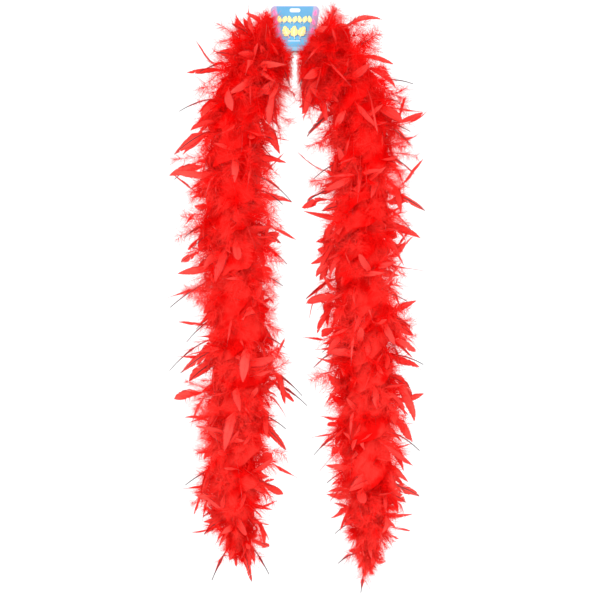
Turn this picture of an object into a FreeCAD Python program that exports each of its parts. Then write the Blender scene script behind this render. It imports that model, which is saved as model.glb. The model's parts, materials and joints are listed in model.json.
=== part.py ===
# Feather boa with its hang card, hanging in an inverted U.
# Millimetres, +Z up, -Y is the front. The origin is the middle of the card's hang slot.
# The boa is one core cord with feathers bound into it along its whole length. The cord is limp, so each
# strand is cut into sections that hinge in turn side to side (about Y) and back to front (about X).
import FreeCAD, Part
import math
import os

import Sketcher
from FreeCAD import Placement, Rotation, Vector

os.makedirs("parts", exist_ok=True)
doc = FreeCAD.newDocument("feather_boa")

# Joint places along each strand, from the card down, as (x, z). The last one is the cord's end.
ROUTES = {
    "left": [(-34, -61), (-78, -118), (-104, -247), (-102, -412), (-91, -577), (-101, -742), (-86, -894)],
    "right": [(34, -61), (84, -105), (115, -222), (106, -387), (119, -552), (115, -717), (115, -932)],
}

DIMENSIONS = {
    # core cord: two-ply cotton string
    "cord_radius": 1.5,
    "knot_radius": 2.6,
    "cord_gap": 0.3,
    # dense inner down, which gives way only under a firm squeeze
    "down_radius": 27,
    "shoulder_down_radius": 20,
    "down_gap": 0.6,
    "shoulder_start": 7,
    "end_margin": 4,
    # how far a joint bends from rest, in degrees
    "swing_reach": 30,
    "fold_reach": 25,
    # hang card: two printed panels pinned together above the cord
    "card_thickness": 0.5,
    "card_top": 8.2,
    "card_top_half_width": 42,
    "card_bottom_half_width": 29,
    "front_panel_bottom": -67.2,
    "back_panel_bottom": -74,
    "back_tab_half_width": 17,
    "panel_half_gap": 0.1,
    "cord_pocket_half_gap": 1.9,
    "pocket_shoulder": -44,
    "pocket_start": -54,
    "card_corner_radius": 10,
    "slot_half_length": 8.8,
    "slot_half_height": 3.3,
    "blank_half_width": 50,
    "blank_margin": 12,
    # wire staples
    "staple_half_width": 6,
    "staple_wire": 0.6,
    "staple_height": -38,
    "staple_spread": 15,
    # plumes: a flat vane on a tapered quill
    "quill_root": 8,
    "quill_root_radius": 0.7,
    "quill_tip_radius": 0.3,
    "vane_thickness": 0.8,
    "fluff_reach": 60,
    "plume_reach": 74,
    "long_reach": 90,
    "guard_reach": 116,
}

# Plume sizes by name: how far each reaches from the cord, and its vane's width.
PLUME_WIDTHS = {"fluff": 13, "plume": 12, "long": 11, "guard": 9}

# Single long plumes as (section, share of its length, degrees round the cord, lean in degrees, size).
# 0 degrees is the outer side of the left strand and the inner side of the right one; 90 is the back.
GUARDS = {
    "left": [
        (2, 0.62, 0, 12, "long"),
        (3, 0.45, 355, 10, "long"),
        (4, 0.80, 2, 8, "guard"),
        (4, 0.30, 272, 12, "long"),
        (5, 0.62, 5, 14, "long"),
        (6, 0.88, 30, 68, "fluff"),
        (6, 0.86, 150, 70, "fluff"),
        (6, 0.84, 265, 66, "fluff"),
    ],
    "right": [
        (2, 0.62, 180, 10, "long"),
        (3, 0.58, 182, 8, "guard"),
        (3, 0.30, 88, 12, "long"),
        (4, 0.55, 178, 12, "long"),
        (5, 0.25, 181, 6, "long"),
        (5, 0.75, 180, 8, "long"),
        (6, 0.50, 176, 15, "long"),
        (6, 0.92, 200, 70, "fluff"),
        (6, 0.93, 60, 72, "fluff"),
        (6, 0.90, 300, 66, "fluff"),
    ],
}
PLUMES_PER_SECTION = 10
SHOULDER_PLUMES = 5
PLUME_LEAN = 18
GOLDEN_ANGLE = 137.5
PLUME_SPAN = (0.30, 0.72)  # where along a section its plumes start and stop
SHOULDER_FAN = 75  # how far round the cord the shoulder's plumes spread to either side
SHORT_PLUME_FAN = 50  # how far round from the other strand the plumes stay short
VANE_SHARE = 0.62  # a vane's length as a share of its plume's reach
QUILL_SHARE = 0.85  # where a quill ends as a share of its plume's reach


# ---------------------------------------------------------------- the sheet of driving dimensions
sheet = doc.addObject("Spreadsheet::Sheet", "dimensions")
rows = dict(DIMENSIONS)
for plume_size, width in PLUME_WIDTHS.items():
    rows[plume_size + "_width"] = width
for side, route in ROUTES.items():
    for index, (x, z) in enumerate(route):
        rows[f"{side}_joint_{index}_x"] = x
        rows[f"{side}_joint_{index}_z"] = z
    headings = [
        math.degrees(math.atan2(x1 - x0, z0 - z1)) for (x0, z0), (x1, z1) in zip(route, route[1:])
    ]
    for joint, (above, below) in enumerate(zip(headings, headings[1:]), start=1):
        rows[f"{side}_bend_{joint}"] = round(abs(above - below), 2)
for row, (alias, value) in enumerate(rows.items(), start=1):
    sheet.set(f"A{row}", alias)
    sheet.set(f"B{row}", str(value))
    sheet.setAlias(f"B{row}", alias)
doc.recompute()

parts = []


def size(alias):
    """A driving dimension's value, read back from the sheet."""
    return float(sheet.get(alias))


def evaluate(expression):
    """The value of an expression of the sheet's aliases."""
    value = sheet.evalExpression(expression)
    return float(getattr(value, "Value", value))


def bind(item, **expressions):
    """Bind an object's properties to expressions of the sheet's aliases."""
    for name, expression in expressions.items():
        item.setExpression(name, expression)
    return item


def primitive(kind, name, place=(0, 0, 0), turn=None, **expressions):
    """A Part primitive with bound sizes, at a place, turned by (axis, degrees)."""
    item = bind(doc.addObject("Part::" + kind, name), **expressions)
    axis, degrees = turn or ((0, 0, 1), 0)
    item.Placement = Placement(Vector(*place), Rotation(Vector(*axis), degrees))
    return item


def boolean(kind, name, *items):
    """A Part boolean: Cut and Common take two items, MultiFuse any number."""
    item = doc.addObject("Part::" + kind, name)
    if kind == "MultiFuse":
        item.Shapes = list(items)
    else:
        item.Base, item.Tool = items
    return item


def sub_part(item, label):
    """Name a finished sub-part, which is written to its own file."""
    item.Label = label
    parts.append(item)
    return item


# ---------------------------------------------------------------- the hang card
def closed_line(sketch, corners):
    """A closed line through corners given as expressions of the sheet's aliases."""
    spots = [Vector(evaluate(x), evaluate(y), 0) for x, y in corners]
    first = sketch.GeometryCount
    for start, end in zip(spots, spots[1:] + spots[:1]):
        sketch.addGeometry(Part.LineSegment(start, end), False)
    for offset, (x, y) in enumerate(corners):
        line = first + offset
        before = first + (offset - 1) % len(corners)
        sketch.addConstraint(Sketcher.Constraint("Coincident", before, 2, line, 1))
        for kind, expression in (("DistanceX", x), ("DistanceY", y)):
            value = evaluate(expression)
            number = sketch.addConstraint(Sketcher.Constraint(kind, -1, 1, line, 1, value))
            sketch.setExpression(f"Constraints[{number}]", expression)


def stadium(sketch, half_length, half_height):
    """A slot outline with round ends, centred on the origin."""
    radius = evaluate(half_height)
    reach = evaluate(half_length) - radius
    axis = Vector(0, 0, 1)
    quarter = math.pi / 2
    right = Part.ArcOfCircle(Part.Circle(Vector(reach, 0, 0), axis, radius), -quarter, quarter)
    left = Part.ArcOfCircle(Part.Circle(Vector(-reach, 0, 0), axis, radius), quarter, 3 * quarter)
    first = sketch.addGeometry(right, False)
    sketch.addGeometry(Part.LineSegment(Vector(reach, radius, 0), Vector(-reach, radius, 0)), False)
    sketch.addGeometry(left, False)
    sketch.addGeometry(Part.LineSegment(Vector(-reach, -radius, 0), Vector(reach, -radius, 0)), False)
    for step in range(4):
        following = first + (step + 1) % 4
        sketch.addConstraint(Sketcher.Constraint("Tangent", first + step, 2, following, 1))
    for arc, x in ((first, reach), (first + 2, -reach)):
        number = sketch.addConstraint(Sketcher.Constraint("DistanceX", -1, 1, arc, 3, x))
        sign = "" if x > 0 else "-"
        sketch.setExpression(f"Constraints[{number}]", f"{sign}({half_length} - {half_height})")
        sketch.addConstraint(Sketcher.Constraint("DistanceY", -1, 1, arc, 3, 0))
    number = sketch.addConstraint(Sketcher.Constraint("Radius", first, radius))
    sketch.setExpression(f"Constraints[{number}]", half_height)


def sketch_on(body, role, name):
    """A sketch on one of the body's own origin planes."""
    plane = next(f for f in body.Origin.OriginFeatures if f.Role == role)
    sketch = body.newObject("Sketcher::SketchObject", name)
    sketch.AttachmentSupport = [(plane, "")]
    sketch.MapMode = "FlatFace"
    return sketch


def card_panel(label, facing, bottom, tab_half_width):
    """One card layer, stepping out round the cord; facing is -1 at the front and 1 at the back."""
    d = "dimensions."
    body = doc.addObject("PartDesign::Body", label)
    sign = "-" if facing < 0 else ""
    near = f"{sign}{d}panel_half_gap"
    near_out = f"{sign}({d}panel_half_gap + {d}card_thickness)"
    wide = f"{sign}{d}cord_pocket_half_gap"
    wide_out = f"{sign}({d}cord_pocket_half_gap + {d}card_thickness)"
    top, knee, foot, base = d + "card_top", d + "pocket_shoulder", d + "pocket_start", d + bottom
    profile = sketch_on(body, "YZ_Plane", label + "_profile")
    closed_line(
        profile,
        [(near, top), (near, knee), (wide, foot), (wide, base),
         (wide_out, base), (wide_out, foot), (near_out, knee), (near_out, top)],
    )
    pad = body.newObject("PartDesign::Pad", label + "_sheet")
    pad.Profile = profile
    pad.SideType = "Symmetric"
    pad.setExpression("Length", f"2 * {d}blank_half_width")
    doc.recompute()
    whole = pad.Shape.Volume

    outline = sketch_on(body, "XZ_Plane", label + "_outline")
    side, margin = d + "blank_half_width", d + "blank_margin"
    closed_line(
        outline,
        [(f"-{side} - {margin}", f"{base} - {margin}"), (f"{side} + {margin}", f"{base} - {margin}"),
         (f"{side} + {margin}", f"{top} + {margin}"), (f"-{side} - {margin}", f"{top} + {margin}")],
    )
    head, waist = d + "card_top_half_width", d + "card_bottom_half_width"
    lower = d + "front_panel_bottom"
    corners = [(f"-{head}", top), (f"-{waist}", lower), (waist, lower), (head, top)]
    if tab_half_width:
        tab = d + tab_half_width
        corners[2:2] = [(f"-{tab}", lower), (f"-{tab}", base), (tab, base), (tab, lower)]
    closed_line(outline, corners)
    stadium(outline, d + "slot_half_length", d + "slot_half_height")
    trim = body.newObject("PartDesign::Pocket", label + "_trim")
    trim.Profile = outline
    trim.SideType = "Symmetric"
    trim.setExpression("Length", f"4 * {d}blank_half_width")
    doc.recompute()
    assert trim.Shape.Volume < 0.8 * whole, label + ": the trim cut nothing"

    top_level = size("card_top")
    rounded = [
        f"Edge{number}"
        for number, edge in enumerate(trim.Shape.Edges, start=1)
        if all(abs(v.Z - top_level) < 1e-6 for v in edge.Vertexes)
        and abs(edge.Vertexes[0].X - edge.Vertexes[-1].X) < 1e-6
    ]
    fillet = body.newObject("PartDesign::Fillet", label + "_corners")
    fillet.Base = (trim, rounded)
    fillet.setExpression("Radius", d + "card_corner_radius")
    body.Tip = fillet
    doc.recompute()
    return sub_part(body, label)


def staples():
    """Two wire staples through both panels, each a bar in front and two legs clinched behind."""
    made = []
    wire = size("staple_wire")
    face = size("panel_half_gap") + size("card_thickness")
    half = size("staple_half_width")
    depth = 2 * (face + wire)
    for index, centre in enumerate((-size("staple_spread"), size("staple_spread"))):
        level = size("staple_height")
        name = f"staple_{index + 1}"
        bar = primitive(
            "Box", name + "_bar", (centre - half, -face - wire, level),
            Length="2 * dimensions.staple_half_width",
            Width="dimensions.staple_wire", Height="dimensions.staple_wire",
        )
        pieces = [bar]
        for hand, x in (("left", centre - half), ("right", centre + half - wire)):
            leg = primitive(
                "Box", f"{name}_{hand}_leg", (x, -face - wire, level),
                Length="dimensions.staple_wire", Height="dimensions.staple_wire",
                Width="2 * (dimensions.panel_half_gap + dimensions.card_thickness + dimensions.staple_wire)",
            )
            inward = x if hand == "left" else centre + wire
            clinch = primitive(
                "Box", f"{name}_{hand}_clinch", (inward, -face - wire + depth - wire, level),
                Length="dimensions.staple_half_width - dimensions.staple_wire",
                Width="dimensions.staple_wire", Height="dimensions.staple_wire",
            )
            pieces += [leg, clinch]
        made.append(boolean("MultiFuse", name, *pieces))
    group = doc.addObject("Part::Compound", "card_staples")
    group.Links = made
    return sub_part(group, "card_staples")


# ---------------------------------------------------------------- the cord and its down
def run(side, section):
    """A section's start, length and angle about Y that turns +Z to point along it."""
    (x0, z0), (x1, z1) = ROUTES[side][section - 1], ROUTES[side][section]
    return Vector(x0, 0, z0), math.hypot(x1 - x0, z1 - z0), math.degrees(math.atan2(x1 - x0, z1 - z0))


def along(side, section):
    """The placement that puts a shape drawn along +Z on a section of a strand."""
    start, _, angle = run(side, section)
    return Placement(start, Rotation(Vector(0, 1, 0), angle))


def section_length(side, section):
    """The length of a section as an expression of the sheet's joint places."""
    here, there = (f"dimensions.{side}_joint_{i}" for i in (section - 1, section))
    return f"sqrt(({there}_x - {here}_x)^2 + ({there}_z - {here}_z)^2)"


def centre_cord():
    """The middle of the cord, straight through the card's pocket, with a knot at each end."""
    (x0, z0), (x1, _) = ROUTES["left"][0], ROUTES["right"][0]
    bar = primitive(
        "Cylinder", "centre_cord_bar", (x0, 0, z0), ((0, 1, 0), 90),
        Radius="dimensions.cord_radius",
        Height="dimensions.right_joint_0_x - dimensions.left_joint_0_x",
    )
    knots = [
        primitive("Sphere", f"centre_knot_{index}", (x, 0, z0), Radius="dimensions.knot_radius")
        for index, x in enumerate((x0, x1))
    ]
    return sub_part(boolean("MultiFuse", "centre_cord", bar, *knots), "centre_cord")


def cord_section(side, section):
    """One section of core cord, from just past the knot above it to its own knot."""
    name = f"{side}_cord_{section}"
    inset = "dimensions.knot_radius + dimensions.cord_gap"
    length = section_length(side, section)
    bar = primitive(
        "Cylinder", name + "_bar",
        Radius="dimensions.cord_radius", Height=f"{length} - ({inset})",
    )
    bar.setExpression("Placement.Base.z", inset)
    knot = primitive("Sphere", name + "_knot", Radius="dimensions.knot_radius")
    knot.setExpression("Placement.Base.z", length)
    cord = boolean("MultiFuse", name, bar, knot)
    cord.Placement = along(side, section)
    return sub_part(cord, name)


def end_offset(side, joint, radius):
    """How far from a joint a round down end is centred, as an expression.

    It clears its neighbour at the full bend, and the cord's knot."""
    reach = "fold_reach" if joint % 2 else "swing_reach"
    half_bend = f"(dimensions.{side}_bend_{joint} + dimensions.{reach}) / 2 * 1 deg"
    clears_neighbour = f"({radius} + dimensions.down_gap / 2) / cos({half_bend})"
    clears_knot = f"{radius} + dimensions.knot_radius + 2 * dimensions.cord_gap"
    return f"max({clears_neighbour}; {clears_knot})"


def down_section(side, section):
    """The dense down round one section: a round-ended roll with the cord's bore through it."""
    name = f"{side}_down_{section}"
    radius = "dimensions." + ("shoulder_down_radius" if section == 1 else "down_radius")
    length = section_length(side, section)
    last = len(ROUTES[side]) - 1
    low = end_offset(side, section - 1, radius) if section > 1 else f"dimensions.shoulder_start + {radius}"
    high = f"{length} - {end_offset(side, section, radius)}"
    if section == last:
        high = f"{length} - dimensions.end_margin - {radius}"
    middle = primitive("Cylinder", name + "_roll", Radius=radius, Height=f"({high}) - ({low})")
    middle.setExpression("Placement.Base.z", low)
    ends = []
    for end, level in (("upper", low), ("lower", high)):
        ball = primitive("Sphere", f"{name}_{end}_end", Radius=radius)
        ball.setExpression("Placement.Base.z", level)
        ends.append(ball)
    roll = boolean("MultiFuse", name + "_outer", middle, *ends)
    bore = primitive(
        "Cylinder", name + "_bore", Radius="dimensions.cord_radius + dimensions.cord_gap", Height=length,
    )
    down = boolean("Cut", name, roll, bore)
    down.Placement = along(side, section)
    return sub_part(down, name)


# ---------------------------------------------------------------- plumes
def plume(kind):
    """One plume lying along +X from the cord: a pointed vane, flat in XZ, on a tapered quill."""
    reach = f"dimensions.{kind}_reach"
    width = f"dimensions.{kind}_width"
    # two discs of this radius, one width less than two radii apart, share a lens of the vane's outline
    length = f"({VANE_SHARE} * {reach})"
    radius = f"({length}^2 + {width}^2) / (4 * {width})"
    vane_discs = []
    for hand, sign in (("upper", ""), ("lower", "-")):
        disc = primitive(
            "Cylinder", f"{kind}_{hand}_disc", turn=((1, 0, 0), 90),
            Radius=radius, Height="dimensions.vane_thickness",
        )
        disc.setExpression("Placement.Base.x", f"{reach} - {length} / 2")
        disc.setExpression("Placement.Base.y", "dimensions.vane_thickness / 2")
        disc.setExpression("Placement.Base.z", f"{sign}({radius} - {width} / 2)")
        vane_discs.append(disc)
    vane = boolean("Common", kind + "_vane", *vane_discs)
    quill = primitive(
        "Cone", kind + "_quill", turn=((0, 1, 0), 90),
        Radius1="dimensions.quill_root_radius", Radius2="dimensions.quill_tip_radius",
        Height=f"{QUILL_SHARE} * {reach} - dimensions.quill_root",
    )
    quill.setExpression("Placement.Base.x", "dimensions.quill_root")
    return boolean("MultiFuse", kind + "_plume", vane, quill)


def plume_spots(side, section):
    """Every plume of a section as (share of its length, degrees round the cord, lean, kind)."""
    count = SHOULDER_PLUMES if section == 1 else PLUMES_PER_SECTION
    spots = []
    for index in range(count):
        step = index / (count - 1)
        share = PLUME_SPAN[0] + (PLUME_SPAN[1] - PLUME_SPAN[0]) * step
        if section == 1:
            # the shoulder's plumes keep to the side away from the card
            outward = 0 if side == "left" else 180
            turn = outward + SHOULDER_FAN * (2 * step - 1)
            kind = "fluff"
        else:
            turn = GOLDEN_ANGLE * (index + PLUMES_PER_SECTION * section) % 360
            inner = 180 if side == "left" else 0
            off_inner = abs((turn - inner + 180) % 360 - 180)
            kind = "fluff" if off_inner < SHORT_PLUME_FAN else ("plume", "fluff", "plume")[index % 3]
        spots.append((share, turn, PLUME_LEAN, kind))
    spots += [spot[1:] for spot in GUARDS[side] if spot[0] == section]
    return spots


def plume_group(side, section, shapes):
    """All the plumes bound into one section, each a separate solid with its quill in the down."""
    name = f"{side}_plumes_{section}"
    length = run(side, section)[1]
    placed = []
    for share, turn, lean, kind in plume_spots(side, section):
        turned = Placement(Vector(0, 0, share * length), Rotation(Vector(0, 0, 1), turn))
        leaned = Placement(Vector(0, 0, 0), Rotation(Vector(0, 1, 0), -lean))
        copy = shapes[kind].copy()
        copy.Placement = turned.multiply(leaned)
        placed.append(copy)
    group = doc.addObject("Part::Feature", name)
    group.Shape = Part.makeCompound(placed)
    group.Placement = along(side, section)
    return sub_part(group, name)


card_panel("card_front_panel", -1, "front_panel_bottom", None)
card_panel("card_back_panel", 1, "back_panel_bottom", "back_tab_half_width")
staples()
centre_cord()
plumes = {kind: plume(kind) for kind in PLUME_WIDTHS}
doc.recompute()
plume_shapes = {kind: item.Shape for kind, item in plumes.items()}
for side, route in ROUTES.items():
    for section in range(1, len(route)):
        cord_section(side, section)
        down_section(side, section)
        plume_group(side, section, plume_shapes)
doc.recompute()

for item in doc.Objects:
    assert not {"Invalid", "Error"} & set(item.State), f"{item.Name}: {item.State}"
for item in parts:
    assert not item.Shape.isNull() and item.Shape.isValid(), f"{item.Label} has no valid shape"
total = 0
for item in parts:
    item.Shape.exportStep(f"parts/{item.Label}.step")
    total += item.Shape.Volume
print(f"{len(parts)} sub-parts, {total / 1e6:.3f} litres")
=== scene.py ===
# A red feather boa hung by its printed card: feathers bound into one core cord, draped in an inverted U.
import json
import math

import bpy
import numpy as np
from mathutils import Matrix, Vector
from mathutils.bvhtree import BVHTree


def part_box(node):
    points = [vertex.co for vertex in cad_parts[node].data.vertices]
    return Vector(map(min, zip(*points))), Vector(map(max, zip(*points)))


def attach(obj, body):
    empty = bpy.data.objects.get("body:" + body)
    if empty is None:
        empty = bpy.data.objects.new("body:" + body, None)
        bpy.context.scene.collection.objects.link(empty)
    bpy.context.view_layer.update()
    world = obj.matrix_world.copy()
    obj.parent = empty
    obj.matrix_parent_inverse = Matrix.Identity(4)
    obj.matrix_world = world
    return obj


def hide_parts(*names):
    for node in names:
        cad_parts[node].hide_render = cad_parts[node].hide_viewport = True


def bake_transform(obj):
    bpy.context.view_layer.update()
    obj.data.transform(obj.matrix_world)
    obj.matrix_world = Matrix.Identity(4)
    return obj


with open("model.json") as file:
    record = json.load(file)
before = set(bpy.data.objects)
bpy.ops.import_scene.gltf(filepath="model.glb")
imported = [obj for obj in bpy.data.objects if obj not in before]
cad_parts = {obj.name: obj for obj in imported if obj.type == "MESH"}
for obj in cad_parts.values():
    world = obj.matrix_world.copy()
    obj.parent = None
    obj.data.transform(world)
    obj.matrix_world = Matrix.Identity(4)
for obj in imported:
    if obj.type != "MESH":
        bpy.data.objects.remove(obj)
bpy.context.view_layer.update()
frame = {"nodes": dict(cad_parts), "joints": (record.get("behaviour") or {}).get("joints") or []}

MM = 0.001
SIDES = ("left", "right")
SEED = 20
BACK = np.array([0, 1, 0])

# The cord's route down each strand as (x, z) in metres, from the edge of the card to the cord's end.
ROUTES = {
    "left": [
        (-0.034, -0.061), (-0.058, -0.086), (-0.078, -0.118), (-0.094, -0.173), (-0.104, -0.247),
        (-0.107, -0.330), (-0.102, -0.412), (-0.096, -0.494), (-0.091, -0.577), (-0.094, -0.660),
        (-0.101, -0.742), (-0.101, -0.824), (-0.086, -0.894),
    ],
    "right": [
        (0.034, -0.061), (0.060, -0.078), (0.084, -0.105), (0.104, -0.151), (0.115, -0.222),
        (0.112, -0.305), (0.106, -0.387), (0.109, -0.470), (0.119, -0.552), (0.119, -0.635),
        (0.115, -0.717), (0.122, -0.800), (0.122, -0.882), (0.115, -0.932),
    ],
}
SECTIONS = 6
CORD_DIAMETER = 0.003

# Feathers bound into the cord, and the sizes in metres that they vary about.
FEATHERS_PER_METRE = 1050
SHOULDER_FEATHERS = 60
COLLAR_FEATHERS = 32
FEATHER_LENGTH = 0.094
FLUFF_QUILL_RADIUS = 0.0003
COMMON_QUILL_RADIUS = 0.00055
GUARD_QUILL_RADIUS = 0.0014
BARB_HALF_WIDTH = 0.00026
TUFT_BARB_HALF_WIDTH = 0.0005
GOLDEN_ANGLE = math.radians(137.5)
PLACING_TRIES = 8
TUFTS_PER_METRE = 450
INNER_RADIUS = 0.0355
# How far from its last feather a strand begins to taper.
TAIL = {"left": 0.12, "right": 0.17}
# The length of bare cord at a strand's end.
BARE_END = {"left": 0.006, "right": 0.028}
# The boa's depth as a share of its width, and how far forward or back a quill may reach.
DEPTH = 0.82
DEEPEST = 0.086
# The two strands keep apart from the card down to this level.
GAP_BOTTOM = -0.125
CARD_CLEARANCE = 0.0034
# How full the boa is down each strand, as (z in metres, share of the usual feather length).
FULLNESS = {
    "left": [(-0.06, 1.10), (-0.12, 1.16), (-0.20, 1.00), (-0.30, 1.10), (-0.43, 1.10), (-0.50, 0.94),
             (-0.58, 1.10), (-0.65, 1.06), (-0.72, 0.98), (-0.80, 0.98), (-0.86, 1.02)],
    "right": [(-0.06, 1.14), (-0.14, 1.16), (-0.21, 1.00), (-0.30, 1.14), (-0.36, 0.94), (-0.45, 1.08),
              (-0.56, 1.06), (-0.64, 0.98), (-0.76, 0.98), (-0.84, 0.96), (-0.92, 1.00)],
}

# Tips of the long feathers that stand out of the fluff, as (x, z) in mm.
GUARD_TIPS = {
    "left": [
        (-190, -168), (-157, -102), (-104, -23), (-129, -72), (-50, -3), (-8, -128), (-26, -166),
        (-36, -214), (-198, -239), (-200, -278), (-36, -245), (-6, -316), (-20, -321), (-183, -376),
        (-168, -394), (-23, -384), (-188, -415), (-13, -419), (-20, -455), (-205, -490), (-162, -526),
        (-178, -547), (-17, -557), (-208, -595), (-188, -598), (12, -636), (20, -653), (-175, -612),
        (-15, -692), (-15, -725), (-180, -782), (-163, -790), (-36, -787), (-152, -836), (-150, -864),
        (-137, -940), (-71, -940), (-43, -933), (-43, -886),
    ],
    "right": [
        (69, 4), (104, -13), (134, -41), (196, -120), (175, -155), (21, -204), (8, -127), (20, -207),
        (191, -199), (191, -222), (198, -270), (31, -278), (20, -316), (45, -331), (215, -330),
        (191, -361), (18, -476), (185, -480), (191, -523), (196, -537), (211, -584), (45, -565),
        (31, -589), (182, -617), (180, -689), (205, -726), (31, -734), (206, -803), (53, -780),
        (182, -793), (182, -811), (66, -864), (71, -912), (134, -920), (109, -963), (147, -854),
    ],
}

# Tips of the soft feathers that rise beside the card, as (x, z) in mm.
RISING_TIPS = {
    "left": [(-45, -8), (-52, -12), (-43, -20), (-58, -20), (-48, -4), (-64, -30), (-44, -30), (-55, -6)],
    "right": [(69, 2), (60, -8), (48, -22)],
}


# ---------------------------------------------------------------- camera, floor and light
def camera():
    """Straight on, from far enough away that the long boa keeps its proportions."""
    distance, framed = 4.0, 0.99
    data = bpy.data.cameras.new("camera")
    data.sensor_width = 36
    data.lens = distance * data.sensor_width / framed
    item = bpy.data.objects.new("camera", data)
    bpy.context.scene.collection.objects.link(item)
    item.location = (0.00825, -distance, -0.478)
    item.rotation_euler = (math.pi / 2, 0, 0)
    bpy.context.scene.camera = item


def area_light(name, place, target, size, power):
    """A round soft light that faces a target."""
    data = bpy.data.lights.new(name, "AREA")
    data.shape = "DISK"
    data.size = size
    data.energy = power
    item = bpy.data.objects.new(name, data)
    item.location = place
    item.rotation_euler = (Vector(target) - Vector(place)).to_track_quat("-Z", "Y").to_euler()
    bpy.context.scene.collection.objects.link(item)


def studio():
    """An even white room with two soft lights and a pale floor."""
    scene = bpy.context.scene
    scene.view_settings.view_transform = "Standard"
    world = bpy.data.worlds.new("studio")
    scene.world = world
    world.use_nodes = True
    background = world.node_tree.nodes["Background"]
    background.inputs["Color"].default_value = (1, 1, 1, 1)
    background.inputs["Strength"].default_value = 1.15
    middle = (0, 0, -0.48)
    area_light("key", (-1.2, -2.8, 1.4), middle, 1.4, 62)
    area_light("fill", (1.6, -2.6, -0.2), middle, 1.6, 33)
    bpy.ops.mesh.primitive_grid_add(x_subdivisions=4, y_subdivisions=4, size=3, location=(0, 0, -1.25))
    floor = bpy.context.object
    floor.name = "floor"
    floor.data.materials.append(floor_material())


# ---------------------------------------------------------------- materials
def new_material(name, roughness=0.6, specular=0.3):
    """A node material and its tree and Principled shader."""
    material = bpy.data.materials.new(name)
    material.use_nodes = True
    tree = material.node_tree
    shader = tree.nodes["Principled BSDF"]
    shader.inputs["Roughness"].default_value = roughness
    shader.inputs["Specular IOR Level"].default_value = specular
    return material, tree, shader


def node(tree, kind, inputs=None, **settings):
    """A node with its settings, inputs given as values or as sockets to link."""
    item = tree.nodes.new("ShaderNode" + kind)
    for name, value in settings.items():
        setattr(item, name, value)
    for name, value in (inputs or {}).items():
        if isinstance(value, bpy.types.NodeSocket):
            tree.links.new(value, item.inputs[name])
        else:
            item.inputs[name].default_value = value
    return item


def mixed_colour(tree, share, low, high):
    """The colour between two colours or colour sockets."""
    item = tree.nodes.new("ShaderNodeMix")
    item.data_type = "RGBA"
    for name, value in (("Factor_Float", share), ("A_Color", low), ("B_Color", high)):
        socket = next(s for s in item.inputs if s.identifier == name)
        if isinstance(value, bpy.types.NodeSocket):
            tree.links.new(value, socket)
        elif name == "Factor_Float":
            socket.default_value = value
        else:
            socket.default_value = (*value, 1)
    return next(s for s in item.outputs if s.identifier == "Result_Color")


def bumped(tree, shader, height, strength, distance):
    """Give a shader a bump from a height socket."""
    bump = node(tree, "Bump", {"Height": height, "Strength": strength, "Distance": distance})
    tree.links.new(bump.outputs["Normal"], shader.inputs["Normal"])


def let_light_through(tree, shader, colour, share):
    """Mix in the light that a thin feather lets through from behind."""
    through = node(tree, "BsdfTranslucent", {"Color": colour})
    mixed = node(tree, "MixShader", {"Fac": share})
    tree.links.new(shader.outputs["BSDF"], mixed.inputs[1])
    tree.links.new(through.outputs["BSDF"], mixed.inputs[2])
    tree.links.new(mixed.outputs["Shader"], tree.nodes["Material Output"].inputs["Surface"])


def floor_material():
    """A plain pale floor."""
    material, tree, shader = new_material("pale floor", 0.9, 0.1)
    spots = node(tree, "TexCoord")
    grain = node(tree, "TexNoise", {"Vector": spots.outputs["Object"], "Scale": 3.0})
    colour = mixed_colour(tree, grain.outputs["Fac"], (0.96, 0.96, 0.96), (0.98, 0.98, 0.98))
    tree.links.new(colour, shader.inputs["Base Color"])
    return material


def down_material():
    """Matte dyed down: deep red, lighter at the barbs' tips and lower down the boa, with deeper pools."""
    material, tree, shader = new_material("dyed down", 0.9, 0.0)
    spots = node(tree, "TexCoord")
    tint = node(tree, "Attribute", attribute_name="tint")
    along = node(tree, "Attribute", attribute_name="along")
    blotch = node(tree, "TexNoise", {"Vector": spots.outputs["Object"], "Scale": 45.0, "Detail": 3.0})
    feather = mixed_colour(tree, tint.outputs["Fac"], (0.94, 0.0008, 0.0012), (1.0, 0.026, 0.021))
    patchy = mixed_colour(tree, blotch.outputs["Fac"], (0.92, 0.0008, 0.0012), feather)
    tipped = mixed_colour(tree, along.outputs["Fac"], patchy, (1.0, 0.072, 0.058))
    place = node(tree, "SeparateXYZ", {"Vector": spots.outputs["Object"]})
    lower = node(tree, "MapRange", {
        "Value": place.outputs["Z"], "From Min": -0.08, "From Max": -0.65, "To Min": 0.0, "To Max": 0.55,
    })
    dyed = mixed_colour(tree, lower.outputs["Result"], tipped, (1.0, 0.082, 0.064))
    pools = node(tree, "TexNoise", {"Vector": spots.outputs["Object"], "Scale": 30.0, "Detail": 2.0})
    deep = node(tree, "MapRange", {
        "Value": pools.outputs["Fac"], "From Min": 0.45, "From Max": 0.60, "To Min": 0.0, "To Max": 0.88,
    })
    pooled = mixed_colour(tree, deep.outputs["Result"], dyed, (0.88, 0.0008, 0.0012))
    upper = node(tree, "MapRange", {
        "Value": place.outputs["Z"], "From Min": -0.26, "From Max": -0.10, "To Min": 0.0, "To Max": 0.45,
    })
    colour = mixed_colour(tree, upper.outputs["Result"], pooled, (0.84, 0.0008, 0.0012))
    tree.links.new(colour, shader.inputs["Base Color"])
    fibre = node(tree, "TexNoise", {"Vector": spots.outputs["Object"], "Scale": 420.0, "Detail": 3.0})
    bumped(tree, shader, fibre.outputs["Fac"], 0.7, 0.0015)
    let_light_through(tree, shader, colour, 0.4)
    return material


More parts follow.
